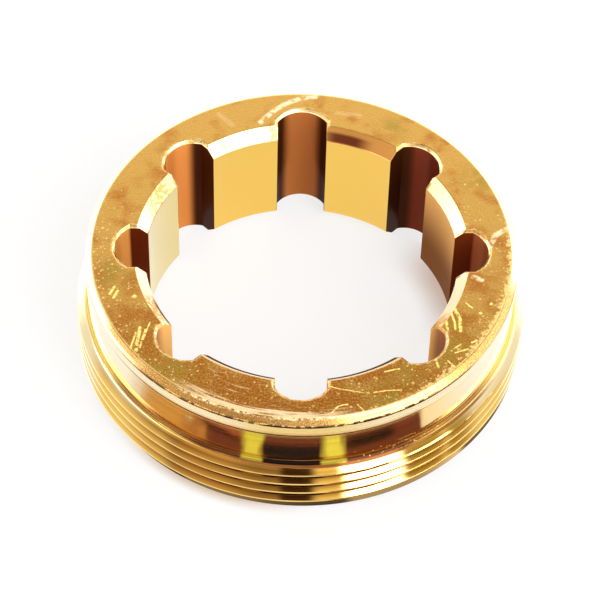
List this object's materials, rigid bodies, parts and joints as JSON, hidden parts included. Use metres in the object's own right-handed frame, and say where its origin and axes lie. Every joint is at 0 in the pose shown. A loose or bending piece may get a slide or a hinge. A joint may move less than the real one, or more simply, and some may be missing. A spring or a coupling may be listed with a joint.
{
  "type": "retaining nut",
  "caption": "Turned ring nut with an outside thread on its lower half, a plain neck and rim above it, and a bore with drive slots for a pronged spanner.",
  "frame": {"origin": "centre of the bottom face, on the threaded end", "axes": "+Z along the nut's axis from the threaded end to the rim, +X through the middle of one drive slot"},
  "size_m": [0.048, 0.048, 0.014],
  "materials": {
    "plated_steel": "yellow passivated zinc plating over fine turning marks, semi-bright"
  },
  "bodies": {
    "root": {"retaining_nut": "plated_steel"}
  },
  "joints": []
}
